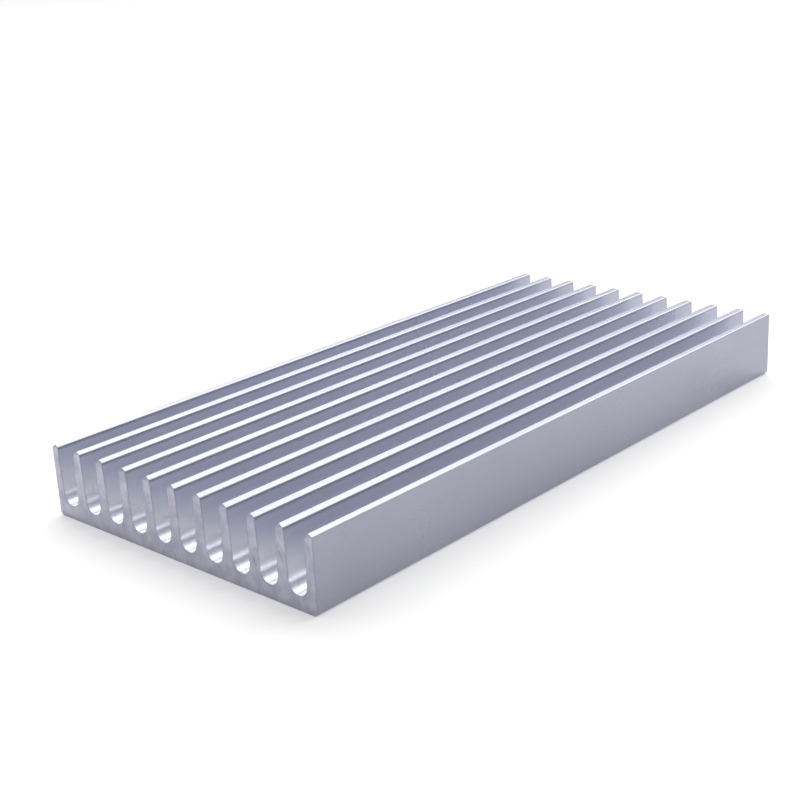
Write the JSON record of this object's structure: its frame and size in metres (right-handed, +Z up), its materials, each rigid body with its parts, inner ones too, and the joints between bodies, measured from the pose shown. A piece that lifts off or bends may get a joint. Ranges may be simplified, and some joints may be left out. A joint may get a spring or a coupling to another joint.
{
  "type": "extruded heat sink",
  "caption": "Low extruded aluminium heat sink: straight drafted fins with round-floored channels between them, on a flat base, saw cut at both ends.",
  "frame": {"origin": "middle of the flat base face, half way along the fins", "axes": "+X across the fins, +Y along the fins, +Z up from the flat base face to the fin tips"},
  "size_m": [0.0716, 0.15, 0.0146],
  "materials": {
    "aluminium": "silver, slightly blue satin extruded aluminium with fine lines along the fins; cut ends duller, with saw marks"
  },
  "bodies": {
    "root": {"heat_sink": "aluminium"}
  },
  "joints": []
}
